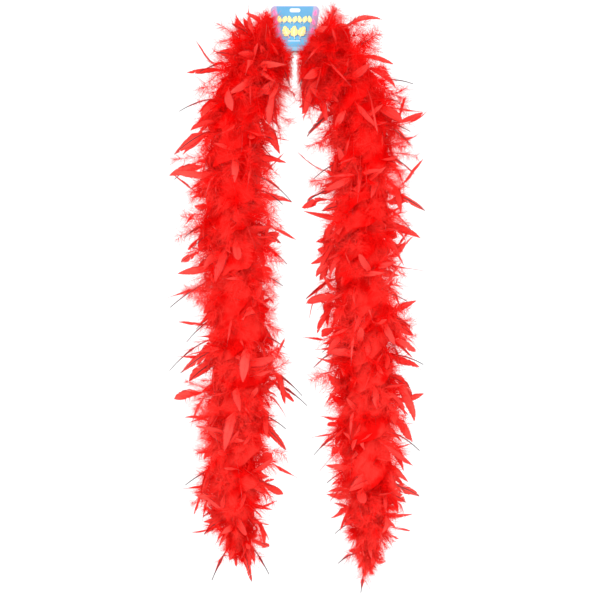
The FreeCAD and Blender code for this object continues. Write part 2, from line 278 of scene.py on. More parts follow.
def vane_material():
    """The flat webbed end of a feather: lighter, partly its own colour and partly painted sheen, with a
    fine stripe for each barb and a deeper rim.
    """
    material, tree, shader = new_material("dyed vane with painted sheen", 0.5, 0.25)
    spots = node(tree, "TexCoord")
    tint = node(tree, "Attribute", attribute_name="tint")
    along = node(tree, "Attribute", attribute_name="along")
    across = node(tree, "Attribute", attribute_name="across")
    slant = node(tree, "Math", {0: along.outputs["Fac"], 1: across.outputs["Fac"]}, operation="SUBTRACT")
    rows = node(tree, "Math", {0: slant.outputs["Value"], 1: 520.0}, operation="MULTIPLY")
    stripe = node(tree, "Math", {0: rows.outputs["Value"]}, operation="SINE")
    softened = node(tree, "MapRange", {"Value": stripe.outputs["Value"], "From Min": -1.0, "From Max": 1.0})
    blotch = node(tree, "TexNoise", {"Vector": spots.outputs["Object"], "Scale": 60.0, "Detail": 2.0})
    # Partly painted sheen: the lighter salmon end stands in part for the sheen on the thin vane, painted
    # into its colour.
    feather = mixed_colour(tree, tint.outputs["Fac"], (0.98, 0.026, 0.021), (1.0, 0.165, 0.125))
    patchy = mixed_colour(tree, blotch.outputs["Fac"], (0.92, 0.010, 0.010), feather)
    lined = mixed_colour(tree, softened.outputs["Result"], patchy, (1.0, 0.090, 0.070))
    rim = node(tree, "MapRange", {"Value": across.outputs["Fac"], "From Min": 0.72, "From Max": 1.0})
    colour = mixed_colour(tree, rim.outputs["Result"], lined, (0.50, 0.005, 0.008))
    tree.links.new(colour, shader.inputs["Base Color"])
    bumped(tree, shader, softened.outputs["Result"], 0.25, 0.0002)
    let_light_through(tree, shader, colour, 0.5)
    return material


def quill_material():
    """Dyed horn: red at the root, darkening to a greyish brown tip, smooth and a little glossy; the dark
    tip is partly its own colour and partly painted shade.
    """
    material, tree, shader = new_material("dyed quill with painted shade", 0.3, 0.5)
    along = node(tree, "Attribute", attribute_name="along")
    spots = node(tree, "TexCoord")
    fleck = node(tree, "TexNoise", {"Vector": spots.outputs["Object"], "Scale": 220.0})
    red = mixed_colour(tree, fleck.outputs["Fac"], (0.55, 0.012, 0.012), (0.78, 0.03, 0.026))
    # Painted shade in part: the quill darkens towards its tip, both its own colour and the shade on thin
    # feather ends seen edge-on.
    fade = node(tree, "MapRange", {"Value": along.outputs["Fac"], "From Min": 0.35, "From Max": 0.72})
    colour = mixed_colour(tree, fade.outputs["Result"], red, (0.05, 0.012, 0.018))
    tree.links.new(colour, shader.inputs["Base Color"])
    return material


def string_material():
    """Dyed cotton string with a fibre grain."""
    material, tree, shader = new_material("dyed cotton string", 0.85, 0.1)
    spots = node(tree, "TexCoord")
    fibre = node(tree, "TexNoise", {"Vector": spots.outputs["Object"], "Scale": 900.0, "Detail": 4.0})
    colour = mixed_colour(tree, fibre.outputs["Fac"], (0.42, 0.008, 0.010), (0.72, 0.030, 0.030))
    tree.links.new(colour, shader.inputs["Base Color"])
    bumped(tree, shader, fibre.outputs["Fac"], 0.5, 0.0002)
    return material


def white_card_material():
    """Plain white card with a faint paper grain."""
    material, tree, shader = new_material("white card", 0.7, 0.2)
    spots = node(tree, "TexCoord")
    grain = node(tree, "TexNoise", {"Vector": spots.outputs["Object"], "Scale": 700.0, "Detail": 3.0})
    cloud = node(tree, "TexNoise", {"Vector": spots.outputs["Object"], "Scale": 45.0, "Detail": 1.0})
    colour = mixed_colour(tree, cloud.outputs["Fac"], (0.80, 0.80, 0.79), (0.86, 0.86, 0.85))
    tree.links.new(colour, shader.inputs["Base Color"])
    bumped(tree, shader, grain.outputs["Fac"], 0.12, 0.00005)
    return material


def wire_material():
    """Bright drawn wire."""
    material, tree, shader = new_material("staple wire", 0.3, 0.5)
    spots = node(tree, "TexCoord")
    drawn = node(tree, "TexNoise", {"Vector": spots.outputs["Object"], "Scale": 1500.0})
    colour = mixed_colour(tree, drawn.outputs["Fac"], (0.55, 0.55, 0.57), (0.78, 0.78, 0.80))
    tree.links.new(colour, shader.inputs["Base Color"])
    shader.inputs["Metallic"].default_value = 1.0
    return material


def plain(name, colour):
    """A plain material that a mesh itself holds under the node material on its object."""
    material = bpy.data.materials.new(name)
    material.use_nodes = True
    shader = material.node_tree.nodes["Principled BSDF"]
    shader.inputs["Base Color"].default_value = (*colour, 1)
    shader.inputs["Roughness"].default_value = 0.7
    return material


def dress(item, *pairs):
    """Give an object its materials, as (plain one for the mesh, node one for the object)."""
    for under, _ in pairs:
        item.data.materials.append(under)
    for place, (_, over) in zip(item.material_slots, pairs):
        place.link = "OBJECT"
        place.material = over


# ---------------------------------------------------------------- meshes from strips
class Pile:
    """Collects strips of quads, each vertex with its feather's tint and its place along and across it."""

    def __init__(self):
        self.points, self.quads, self.facts, self.slots = [], [], [], []
        self.count = 0

    def add(self, grid, tint, along, across, slot=0, closed=False):
        """grid holds strips x stations x columns x 3; closed joins the last column to the first."""
        strips, stations, columns = grid.shape[:3]
        index = np.arange(strips * stations * columns).reshape(strips, stations, columns) + self.count
        if closed:
            index = np.concatenate([index, index[:, :, :1]], axis=2)
        corners = (index[:, :-1, :-1], index[:, :-1, 1:], index[:, 1:, 1:], index[:, 1:, :-1])
        quads = np.stack(corners, axis=-1).reshape(-1, 4)
        self.points.append(grid.reshape(-1, 3))
        self.quads.append(quads)
        self.slots.append(np.full(len(quads), slot, np.int32))
        facts = [np.broadcast_to(fact, grid.shape[:3]).ravel() for fact in (tint, along, across)]
        self.facts.append(np.stack(facts, axis=1))
        self.count += strips * stations * columns

    def object(self, name, clear=None):
        """The mesh object; clear moves points out of another piece's way."""
        points = np.concatenate(self.points).astype(np.float32)
        if clear:
            points = clear(points)
        quads = np.concatenate(self.quads).astype(np.int32)
        facts = np.concatenate(self.facts).astype(np.float32)
        mesh = bpy.data.meshes.new(name)
        mesh.vertices.add(len(points))
        mesh.vertices.foreach_set("co", points.ravel())
        mesh.loops.add(quads.size)
        mesh.loops.foreach_set("vertex_index", quads.ravel())
        mesh.polygons.add(len(quads))
        mesh.polygons.foreach_set("loop_start", np.arange(0, quads.size, 4, dtype=np.int32))
        mesh.update(calc_edges=True)
        mesh.polygons.foreach_set("material_index", np.concatenate(self.slots))
        mesh.polygons.foreach_set("use_smooth", np.ones(len(quads), bool))
        for column, label in enumerate(("tint", "along", "across")):
            attribute = mesh.attributes.new(label, "FLOAT", "POINT")
            attribute.data.foreach_set("value", np.ascontiguousarray(facts[:, column]))
        mesh.validate()
        item = bpy.data.objects.new(name, mesh)
        bpy.context.scene.collection.objects.link(item)
        return item


def unit(v):
    """Vectors scaled to length one."""
    return v / np.linalg.norm(v, axis=-1, keepdims=True)


# ---------------------------------------------------------------- the cord's line
def smooth_route(side):
    """Points along the strand's smooth line, read from a NURBS spline through its route."""
    curve = bpy.data.curves.new("route", "CURVE")
    curve.dimensions = "3D"
    curve.resolution_u = 24
    spline = curve.splines.new("NURBS")
    spline.points.add(len(ROUTES[side]) - 1)
    for point, (x, z) in zip(spline.points, ROUTES[side]):
        point.co = (x, 0, z, 1)
    spline.order_u = 3
    spline.use_endpoint_u = True
    item = bpy.data.objects.new("route", curve)
    bpy.context.scene.collection.objects.link(item)
    bpy.context.view_layer.update()
    mesh = bpy.data.meshes.new_from_object(item)
    points = np.array([v.co[:] for v in mesh.vertices])
    bpy.data.objects.remove(item)
    bpy.data.meshes.remove(mesh)
    return points


class Line:
    """A strand's centre line, read by distance along it from the edge of the card."""

    def __init__(self, side):
        self.points = smooth_route(side)
        steps = np.linalg.norm(np.diff(self.points, axis=0), axis=1)
        self.marks = np.concatenate([[0], np.cumsum(steps)])
        self.length = self.marks[-1]

    def at(self, distance):
        """The point at a distance."""
        return np.array([np.interp(distance, self.marks, self.points[:, k]) for k in range(3)])

    def heading(self, distance):
        """The way that the line runs at a distance, as a vector of length one."""
        step = 0.004
        low, high = max(distance - step, 0), min(distance + step, self.length)
        return unit(self.at(high) - self.at(low))

    def nearest(self, point):
        """The distance at which the line is nearest to a point."""
        return self.marks[np.argmin(np.linalg.norm(self.points - np.array(point), axis=1))]


def joint_place(side, section):
    """Where a section hangs from the one above it."""
    return next(j["pos_m"] for j in frame["joints"] if j["child"] == f"{side}_{section}")


def stretches(side, line):
    """Each piece's stretch of a strand as (number, start, end, body above, body below).

    A piece runs from the middle of one section to the middle of the next, across the joint between them.
    The first and last have no joint."""
    joints = [line.nearest(joint_place(side, s)) for s in range(1, SECTIONS + 1)] + [line.length]
    middles = [(a + b) / 2 for a, b in zip(joints, joints[1:])]
    cuts = [0.0] + middles + [line.length]
    found = []
    for number, (start, end) in enumerate(zip(cuts, cuts[1:]), start=1):
        above, below = max(number - 1, 1), min(number, SECTIONS)
        found.append((number, start, end, f"{side}_{above}", f"{side}_{below}"))
    return found


def hang(item, line, stretch, slot, *nodes):
    """Hang a piece from its section's body if its stretch lies within one section, else fix it where it is;
    either way it takes the place of the CAD nodes it stands for.
    """
    _, start, end, above, below = stretch
    if above == below:
        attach(item, above)
    else:
        line.at(start)
        line.at(end)
        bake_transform(item)
    if nodes:
        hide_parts(*nodes)


# ---------------------------------------------------------------- feathers
def bent_quill(root, heading, droop, curl, length, stations=12):
    """A quill's points: it leaves along heading, droops and curls sideways more towards its tip."""
    step = length / (stations - 1)
    points, here, way = [root], root, heading
    for index in range(1, stations):
        share = index / (stations - 1)
        way = unit(way + (droop * np.array([0, 0, -1]) + curl) * step * (0.3 + 1.8 * share ** 1.5))
        here = here + way * step
        points.append(here)
    return np.array(points)


def arched_quill(root, tip, rise, stations=12):
    """A quill from root to a given tip, arched by rise."""
    middle = (root + tip) / 2 + rise
    t = np.linspace(0, 1, stations)[:, None]
    return (1 - t) ** 2 * root + 2 * t * (1 - t) * middle + t ** 2 * tip


def quill_frames(points, outward, twist):
    """Each station's tangent, side and face directions; the face looks outward, turned by twist."""
    tangent = unit(np.gradient(points, axis=0))
    side = unit(np.cross(tangent, outward))
    face = np.cross(side, tangent)
    turn = twist[:, None]
    turned = side * np.cos(turn) + face * np.sin(turn)
    return tangent, turned, np.cross(turned, tangent)


def sampled(values, shares):
    """Rows of values read at shares from 0 to 1 of their length."""
    at = shares * (len(values) - 1)
    low = np.clip(at.astype(int), 0, len(values) - 2)
    return values[low] + (values[low + 1] - values[low]) * (at - low)[:, None]


def down_barbs(pile, rng, points, frames, tint, span, reach, count, half_width):
    """Loose curling barbs along a span of the quill, each one a thin ribbon."""
    tangent, side, face = frames
    shares = rng.uniform(span[0], span[1], count)
    root = sampled(points, shares)
    along, out, up = (sampled(v, shares) for v in (tangent, side, face))
    # Each barb leaves to one side of the quill, leans towards the tip and lifts off the feather's face.
    hand = np.where(rng.random(count) < 0.5, -1.0, 1.0)[:, None]
    lean = rng.uniform(0.1, 1.1, count)[:, None]
    lift = rng.normal(0, 0.65, count)[:, None]
    way = unit(out * hand + along * lean + up * lift)
    # Barbs are longest in the middle of the span.
    swell = np.sin(np.pi * np.clip((shares - span[0]) / (span[1] - span[0]), 0, 1) ** 0.8) ** 0.5
    size = (reach * (0.45 + 0.55 * swell) * rng.uniform(0.6, 1.25, count))[:, None]
    curl = (along * 0.4 + np.array([0, 0, -0.25]) + rng.normal(0, 0.55, (count, 3))) * size
    t = np.linspace(0, 1, 4)[None, :, None]
    centre = root[:, None] + way[:, None] * size[:, None] * t + curl[:, None] * t ** 2 * 0.6
    flat = unit(np.cross(way, rng.normal(0, 1, (count, 3))))
    half = flat[:, None] * half_width * (1.15 - 0.9 * t)
    grid = np.stack([centre - half, centre + half], axis=2)
    edge = np.broadcast_to(np.linspace(0, 1, 4)[None, :, None], grid.shape[:3])
    pile.add(grid, tint, edge, edge)


def vane_barbs(pile, rng, points, frames, tint, width, start, stop, blunt, count):
    """The webbed vane: barbs lying side by side from the quill to the vane's outline, parting a little."""
    tangent, side, face = frames
    vane_length = np.linalg.norm(np.diff(points, axis=0), axis=1).sum() * (stop - start)
    clump = np.cumsum(rng.random(count) < 0.14)
    peak = rng.uniform(0.12, 0.42)
    narrow = {-1.0: rng.uniform(0.55, 1.0), 1.0: 1.0}
    for hand in (-1.0, 1.0):
        q = (np.arange(count) + 0.5) / count
        shares = start + (stop - start) * q
        root = sampled(points, shares)
        along, out, up = (sampled(v, shares) for v in (tangent, side, face))
        # A barb slants, so it ends further along the vane than it starts, level with the rest of its clump.
        ends = q + (0.16 + 0.22 * (1 - q)) * (1 - q) + rng.normal(0, 0.02, clump.max() + 1)[clump]
        # The outline widens fast to its peak and closes towards the tip.
        rise = np.clip(ends / peak, 0, 1) ** 0.35
        outline = rise * (1 - np.clip((ends - peak) / (1.01 - peak), 0, 1) ** blunt)
        uneven = 1 + 0.05 * rng.normal(0, 1, count) - 0.16 * rng.random(clump.max() + 1)[clump] ** 3
        half = np.maximum(width * narrow[hand] * outline * uneven, 0.0003)
        reach = out * hand * half[:, None] + along * ((ends - q) * vane_length)[:, None]
        # The barb's own line, cupped and bowed.
        lift = rng.normal(0, 0.05, clump.max() + 1)[clump]
        t = np.linspace(0, 1, 4)[None, :, None]
        cup = (-0.30 * t ** 2 + lift[:, None, None] * t) * half[:, None, None]
        bow = along[:, None] * half[:, None, None] * 0.25 * t * (t - 1)
        centre = root[:, None] + reach[:, None] * t + up[:, None] * cup + bow
        # The barb is about as broad as the space between its neighbours.
        way = unit(reach)
        flank = unit(along - way * np.sum(along * way, axis=1, keepdims=True))
        pitch = vane_length / count
        slope = np.linalg.norm(np.cross(way, along), axis=1)[:, None, None]
        breadth = pitch * (0.66 * slope + 0.10) * (1.0 - 0.35 * t ** 2)
        grid = np.stack([centre - flank[:, None] * breadth, centre + flank[:, None] * breadth], axis=2)
        place = np.broadcast_to(shares[:, None, None], grid.shape[:3])
        edge = np.broadcast_to(t, grid.shape[:3])
        pile.add(grid, tint, place, edge)


def quill_tube(pile, points, frames, tint, root_radius, darkest=1.0, sides=4):
    """The quill itself, tapered, from the cord to the tip, which is the darkest, partly as painted shade.
    """
    _, side, face = frames
    turn = np.arange(sides) / sides * 2 * np.pi
    taper = root_radius * (1 - 0.60 * np.linspace(0, 1, len(points)) ** 2)[:, None, None]
    ring = side[:, None] * np.cos(turn)[None, :, None] + face[:, None] * np.sin(turn)[None, :, None]
    grid = (points[:, None] + ring * taper)[None]
    place = np.broadcast_to(np.linspace(0, darkest, len(points))[None, :, None], grid.shape[:3])
    pile.add(grid, tint, place, 0.0, slot=1, closed=True)


# Each kind of feather: the range of its vane's width and of where the vane starts along the quill, the
# down's span, its number of barbs, how much the quill curls and its length beside the usual one.
KINDS = {
    "flat": dict(
        width=(0.011, 0.021), start=(0.38, 0.52), span=(0.03, 0.66), barbs=112, curl=31, long=1.0,
    ),
    "sickle": dict(
        width=(0.005, 0.009), start=(0.46, 0.60), span=(0.03, 0.70), barbs=96, curl=32, long=1.04,
    ),
    "fluff": dict(width=None, start=None, span=(0.15, 0.99), barbs=205, curl=14, long=0.83),
    "tuft": dict(width=None, start=None, span=(0.35, 0.99), barbs=130, curl=20, long=0.56),
}
VANE_BARBS = 26


def feather(
    fluff, plumes, rng, kind, points, outward, small=1.0, quill=COMMON_QUILL_RADIUS, darkest=0.52,
):
    """One whole feather of a kind on a given quill line; the lower ones are dyed a little lighter."""
    facts = KINDS[kind]
    tint = rng.random() ** (1.2 - 0.7 * min(-points[0, 2], 1.0))
    twist = rng.normal(0, 0.6) + np.linspace(0, 1, len(points)) * rng.normal(0, 1.3)
    frames = quill_frames(points, outward, twist)
    reach = rng.uniform(0.015, 0.024) * small
    half_width = TUFT_BARB_HALF_WIDTH if kind == "tuft" else BARB_HALF_WIDTH
    down_barbs(fluff, rng, points, frames, tint, facts["span"], reach, facts["barbs"], half_width)
    if not facts["width"]:
        quill_tube(plumes, points, frames, tint, FLUFF_QUILL_RADIUS, darkest=0.35)
        return
    width = rng.uniform(*facts["width"]) * small
    blunt = rng.choice([1.8, 3.0, 5.5]) if kind == "flat" else 1.3
    start = rng.uniform(*facts["start"])
    stop = 1.0 if kind == "flat" else 0.93
    vane_barbs(plumes, rng, points, frames, tint, width / 2, start, stop, blunt, VANE_BARBS)
    quill_tube(plumes, points, frames, tint, quill, darkest)


def in_the_way(points, towards):
    """Whether a quill would cross the card, the gap under it, the space over it or the other strand."""
    x, z = np.abs(points[:, 0]), points[:, 2]
    over_card = (x < 0.020 + 0.55 * np.clip(z + 0.0655, 0, 0.034)) & (z > -0.070)
    under_card = (x < 0.005) & (z > GAP_BOTTOM)
    past_middle = points[:, 0] * towards > 0.006
    above_card = z > 0.012
    return bool((over_card | under_card | past_middle | above_card).any())


class Lobes:
    """Smooth waves over a strand's surface, by angle and distance, that make its down uneven."""

    def __init__(self, rng):
        self.broad = [self.wave(rng, (0, 4), (50, 150), 1.5) for _ in range(9)]
        self.fine = [self.wave(rng, (3, 16), (90, 430), 0.6) for _ in range(18)]

    def wave(self, rng, around, along, height):
        """One wave: its count round the strand, its radians a metre, its phase and its height."""
        return rng.integers(*around), rng.uniform(*along), rng.uniform(0, 2 * np.pi), height

    def height(self, waves, turn, distance):
        """The height of some waves together, at an angle and a distance."""
        total = sum(
            height * np.sin(around * turn + along * distance + phase)
            for around, along, phase, height in waves
        )
        return total / len(waves) ** 0.5


def common_quill(rng, side, line, lobes, kind, distance, turn):
    """The quill of a feather of the fluff, bound in at a distance down the strand.

    Returns its points, the way that its face looks and how small its vane and barbs are."""
    curl, long = KINDS[kind]["curl"], KINDS[kind]["long"]
    root, down = line.at(distance), line.heading(distance)
    across = unit(np.cross(down, [0, 1, 0]))
    radial = across * np.cos(turn) + BACK * np.sin(turn)
    left = line.length - BARE_END[side] - distance
    tail = 1 - min(left / TAIL[side], 1)
    shoulder = 1 - min(distance / 0.10, 1)
    lean = np.radians(rng.normal(20, 24) + 40 * tail - 36 * shoulder)
    heading = unit(radial * np.cos(lean) + down * np.sin(lean))
    levels, shares = zip(*FULLNESS[side])
    full = np.interp(-root[2], [-level for level in levels], shares)
    full *= (1 - 0.66 * tail ** 1.6) * (1 - 0.10 * shoulder)
    full *= 1 + 0.13 * np.clip(lobes.height(lobes.broad, turn, distance), -1.6, 1.6)
    length = FEATHER_LENGTH * long * full * rng.uniform(0.70, 1.16)
    droop = rng.uniform(-4, 24) * (1 - 0.8 * shoulder)
    bend = unit(np.cross(heading, rng.normal(0, 1, 3))) * abs(rng.normal(0, curl))
    points = bent_quill(root, heading, droop, bend, length) * np.array([1, DEPTH, 1])
    return points, radial + 0.2 * down, 1 - 0.5 * tail


def common_kind(rng, line, distance):
    """A feather's kind: more of the lower ones have a flat vane, and most of those at the end."""
    flats = 0.26 + 0.16 * min(distance / 0.5, 1) + (0.22 if distance > line.length - 0.09 else 0)
    return rng.choice(["flat", "sickle", "fluff"], p=[flats, 0.12, 0.88 - flats])


def common_feather(fluff, plumes, rng, kind, side, line, lobes, distance, turn):
    """One feather of the fluff, turned another way if it would lie where none can."""
    towards = 1 if side == "left" else -1
    for _ in range(PLACING_TRIES):
        points, outward, small = common_quill(rng, side, line, lobes, kind, distance, turn)
        if not in_the_way(points, towards) and np.abs(points[:, 1]).max() < DEEPEST:
            feather(fluff, plumes, rng, kind, points, outward, small)
            return
        turn = rng.uniform(0, 2 * np.pi)


def collar_feather(fluff, plumes, rng, side, line):
    """A soft short feather that lies over a lower corner of the card, or hangs under it."""
    own = -1 if side == "left" else 1
    root = line.at(rng.uniform(0.001, 0.012))
    front = -1 if rng.random() < 0.65 else 1
    if rng.random() < 0.6:
        heading = (-own * rng.uniform(0.05, 0.6), front * rng.uniform(0.5, 1.0), rng.uniform(-0.3, 0.9))
        length = rng.uniform(0.020, 0.033)
    else:
        root = line.at(rng.uniform(0.008, 0.035))
        heading = (-own * rng.uniform(0.7, 1.0), front * rng.uniform(0.1, 0.5), rng.uniform(-0.6, 0.2))
        length = rng.uniform(0.026, 0.038)
    heading = unit(np.array(heading))
    bend = np.array([-own * rng.uniform(4, 16), 0, rng.uniform(-6, 6)])
    points = bent_quill(root, heading, 0, bend, length)
    feather(fluff, plumes, rng, "fluff", points, heading + np.array([0, 0, 0.3]), small=0.62)


def guard_feather(fluff, plumes, rng, line, tip, kind):
    """A feather that stands out of the fluff, from the cord to a given tip."""
    tip = np.array([tip[0] * MM, rng.uniform(-0.022, 0.022), tip[1] * MM])
    beside = line.nearest(tip)
    gap = np.linalg.norm(tip - line.at(beside))
    distance = float(np.clip(beside - gap * rng.uniform(0.10, 0.55), 0.004, line.length - 0.004))
    root = line.at(distance)
    lift = rng.uniform(0.16, 0.42) if tip[2] < -0.05 else 0.04
    rise = np.array([0, rng.uniform(-0.008, 0.008), gap * lift])
    points = arched_quill(root, tip, rise)
    outward = unit(tip - root) + np.array([0, -0.8 if rng.random() < 0.7 else 0.8, 0.6])
    # Its quill darkens fully to the tip, partly as painted shade on the thin ends seen edge-on.
    feather(fluff, plumes, rng, kind, points, outward, quill=GUARD_QUILL_RADIUS, darkest=1.0)


def clear_of_card(side):
    """Lays what would pass through the card against it, and keeps a strand on its side of the gap below."""
    def clear(points):
        x, y, z = points.T
        own = -1 if side == "left" else 1
        card_edge = 0.0315 + 0.16 * np.clip(z + 0.067, 0, 1)
        beside = (np.abs(x) < card_edge) & (z > -0.078) & (np.abs(y) < CARD_CLEARANCE)
        y = np.where(beside, np.where(y > 0, CARD_CLEARANCE, -CARD_CLEARANCE), y)
        gap_edge = 0.0035 + 0.003 * np.sin(z * 620 + 9 * own)
        below = (z > GAP_BOTTOM) & (z < -0.060) & (x * own < gap_edge)
        x = np.where(below, own * gap_edge, x)
        return np.stack([x, y, z], axis=1)
    return clear


def inner_down(piles, rng, side, line, lobes):
    """The massed barbs next to the cord, as one lobed and ruffled body along the strand."""
    turns = np.linspace(0, 2 * np.pi, 64, endpoint=False)
    for stretch, inner, _, _ in piles:
        start, end = stretch[1], stretch[2]
        rings = []
        for distance in np.linspace(start, end, max(int((end - start) / 0.0025), 8)):
            down = line.heading(distance)
            across = unit(np.cross(down, [0, 1, 0]))
            broad, fine = (lobes.height(waves, turns, distance) for waves in (lobes.broad, lobes.fine))
            ripple = 0.75 * broad + 0.9 * fine
            ends = min(distance / 0.055, (line.length - BARE_END[side] - distance) / TAIL[side], 1)
            full = 0.06 + 0.94 * max(ends, 0) ** 0.8
            radius = INNER_RADIUS * full * np.clip(1 + 0.16 * ripple, 0.55, 1.28)
            spokes = across * np.cos(turns)[:, None] + BACK * np.sin(turns)[:, None]
            lag = down * (0.006 * ripple)[:, None]
            rings.append(line.at(distance) + spokes * radius[:, None] + lag)
        grid = np.array(rings)[None]
        inner.add(grid, rng.random(grid.shape[:3]), 0.0, 0.0, closed=True)


# ---------------------------------------------------------------- cord and strands
def plait(pile, path, plies=3, turns_per_metre=150, sides=6):
    """Twisted plies along a path."""
    steps = np.linalg.norm(np.diff(path, axis=0), axis=1)
    marks = np.concatenate([[0], np.cumsum(steps)])
    spacing = 0.0011
    count = max(int(marks[-1] / spacing), 8)
    at = np.linspace(0, marks[-1], count)
    centre = np.stack([np.interp(at, marks, path[:, k]) for k in range(3)], axis=1)
    tangent = unit(np.gradient(centre, axis=0))
    side = unit(np.cross(tangent, [0, 1, 0]))
    face = np.cross(side, tangent)
    for ply in range(plies):
        phase = 2 * np.pi * (ply / plies + at * turns_per_metre)
        lay = side * np.cos(phase)[:, None] + face * np.sin(phase)[:, None]
        middle = centre + lay * CORD_DIAMETER * 0.27
        turn = np.arange(sides) / sides * 2 * np.pi
        ring = side[:, None] * np.cos(turn)[None, :, None] + face[:, None] * np.sin(turn)[None, :, None]
        grid = (middle[:, None] + ring * CORD_DIAMETER * 0.26)[None]
        pile.add(grid, 0.5, 0.5, 0.0, closed=True)


def strand(side):
    """A strand's feathers and cord, in pieces that span its joints."""
    line = Line(side)
    rng = np.random.default_rng(SEED + SIDES.index(side))
    pieces = [(stretch, Pile(), Pile(), Pile()) for stretch in stretches(side, line)]

    def piles_at(distance):
        for stretch, inner, fluff, plumes in pieces:
            if stretch[1] <= distance <= stretch[2]:
                return inner, fluff, plumes

    lobes = Lobes(rng)
    inner_down(pieces, rng, side, line, lobes)
    count = int(line.length * FEATHERS_PER_METRE)
    feathered = line.length - BARE_END[side] - 0.004
    spots = (np.arange(count) + rng.uniform(0, 1, count)) / count * feathered + 0.004
    spots = np.concatenate([spots, rng.uniform(0.001, 0.055, SHOULDER_FEATHERS)])
    for index, distance in enumerate(spots):
        turn = index * GOLDEN_ANGLE + rng.normal(0, 0.35)
        _, fluff, plumes = piles_at(distance)
        kind = common_kind(rng, line, distance)
        common_feather(fluff, plumes, rng, kind, side, line, lobes, distance, turn)
    for distance in rng.uniform(0.004, line.length - BARE_END[side], int(line.length * TUFTS_PER_METRE)):
        inner, _, plumes = piles_at(distance)
        turn = rng.uniform(0, 2 * np.pi)
        common_feather(inner, plumes, rng, "tuft", side, line, lobes, distance, turn)
    for _ in range(COLLAR_FEATHERS):
        collar_feather(*piles_at(0.005)[1:], rng, side, line)
    guards = [(tip, "flat" if rng.random() < 0.35 else "sickle") for tip in GUARD_TIPS[side]]
    for tip, kind in guards + [(tip, "fluff") for tip in RISING_TIPS[side]]:
        beside = line.nearest([tip[0] * MM, 0, tip[1] * MM])
        guard_feather(*piles_at(max(beside - 0.02, 0.001))[1:], rng, line, tip, kind)

    for stretch, inner, fluff, plumes in pieces:
        number, start, end = stretch[:3]
        path = np.array([line.at(distance) for distance in np.linspace(start, end, 40)])
        string = Pile()
        plait(string, path)
        layers = (
            (inner, "inner_down", None, "down", (DOWN,)),
            (fluff, "down_fluff", "down", "down", (DOWN,)),
            (plumes, "feathers", "plumes", "plumes", (VANE, QUILL)),
            (string, "core_cord", "cord", "core_cord", (STRING,)),
        )
        for pile, name, stands_for, slot, looks in layers:
            clear = clear_of_card(side) if number <= 2 and pile is not string else None
            item = pile.object(f"{side}_{name}_{number}", clear)
            dress(item, *looks)
            own = [f"{side}_{stands_for}_{number}"] if stands_for and number <= SECTIONS else []
            hang(item, line, stretch, slot, *own)


# ---------------------------------------------------------------- the hang card
def printed_card_material():
    """A lilac card with a sky blue field that narrows downwards, painted shade darkening its top, and a
    paler strip along its foot.
    """
    material, tree, shader = new_material("printed card", 0.32, 0.35)
    spots = node(tree, "TexCoord")
    place = node(tree, "SeparateXYZ", {"Vector": spots.outputs["Object"]})
    cloud = node(tree, "TexNoise", {"Vector": spots.outputs["Object"], "Scale": 55.0, "Detail": 2.0})
    grain = node(tree, "TexNoise", {"Vector": spots.outputs["Object"], "Scale": 900.0, "Detail": 3.0})
    across = node(tree, "Math", {0: place.outputs["X"]}, operation="ABSOLUTE")
    field = node(tree, "MapRange", {
        "Value": place.outputs["Z"],
        "From Min": -0.066, "From Max": 0.0065, "To Min": 0.0165, "To Max": 0.0304,
    })
    past = node(tree, "Math", {0: across.outputs[0], 1: field.outputs[0]}, operation="SUBTRACT")
    border = node(tree, "MapRange", {"Value": past.outputs[0], "From Min": 0.0, "From Max": 0.0007})
    foot = node(tree, "MapRange", {"Value": place.outputs["Z"], "From Min": -0.0600, "From Max": -0.0606})
    head = node(tree, "MapRange", {"Value": place.outputs["Z"], "From Min": 0.0064, "From Max": 0.0070})
    # Painted shade: the sky field is painted darker towards the top, where more light falls on the card
    # than under the fluff.
    height = node(tree, "MapRange", {"Value": place.outputs["Z"], "From Min": -0.055, "From Max": -0.01})
    upper = mixed_colour(tree, cloud.outputs["Fac"], (0.070, 0.26, 0.46), (0.11, 0.34, 0.55))
    lower = mixed_colour(tree, cloud.outputs["Fac"], (0.080, 0.39, 0.69), (0.14, 0.52, 0.78))
    sky = mixed_colour(tree, height.outputs[0], lower, upper)
    lilac = mixed_colour(tree, cloud.outputs["Fac"], (0.35, 0.25, 0.43), (0.33, 0.37, 0.52))
    with_foot = mixed_colour(tree, foot.outputs[0], sky, (0.26, 0.58, 0.82))
    with_border = mixed_colour(tree, border.outputs[0], with_foot, lilac)
    colour = mixed_colour(tree, head.outputs[0], with_border, (0.66, 0.60, 0.76))
    tree.links.new(colour, shader.inputs["Base Color"])
    bumped(tree, shader, grain.outputs["Fac"], 0.12, 0.00005)
    return material


def ink(name, low, high):
    """Printed ink: nearly one colour, with the faint mottle of paper under it."""
    material, tree, shader = new_material(name, 0.35, 0.35)
    spots = node(tree, "TexCoord")
    mottle = node(tree, "TexNoise", {"Vector": spots.outputs["Object"], "Scale": 240.0, "Detail": 2.0})
    colour = mixed_colour(tree, mottle.outputs["Fac"], low, high)
    tree.links.new(colour, shader.inputs["Base Color"])
    return material


# The y of the card's flat front, for a point that misses the card, and the step between layers of ink.
FLAT_CARD_FACE = -0.0007
LAYER = 0.00008


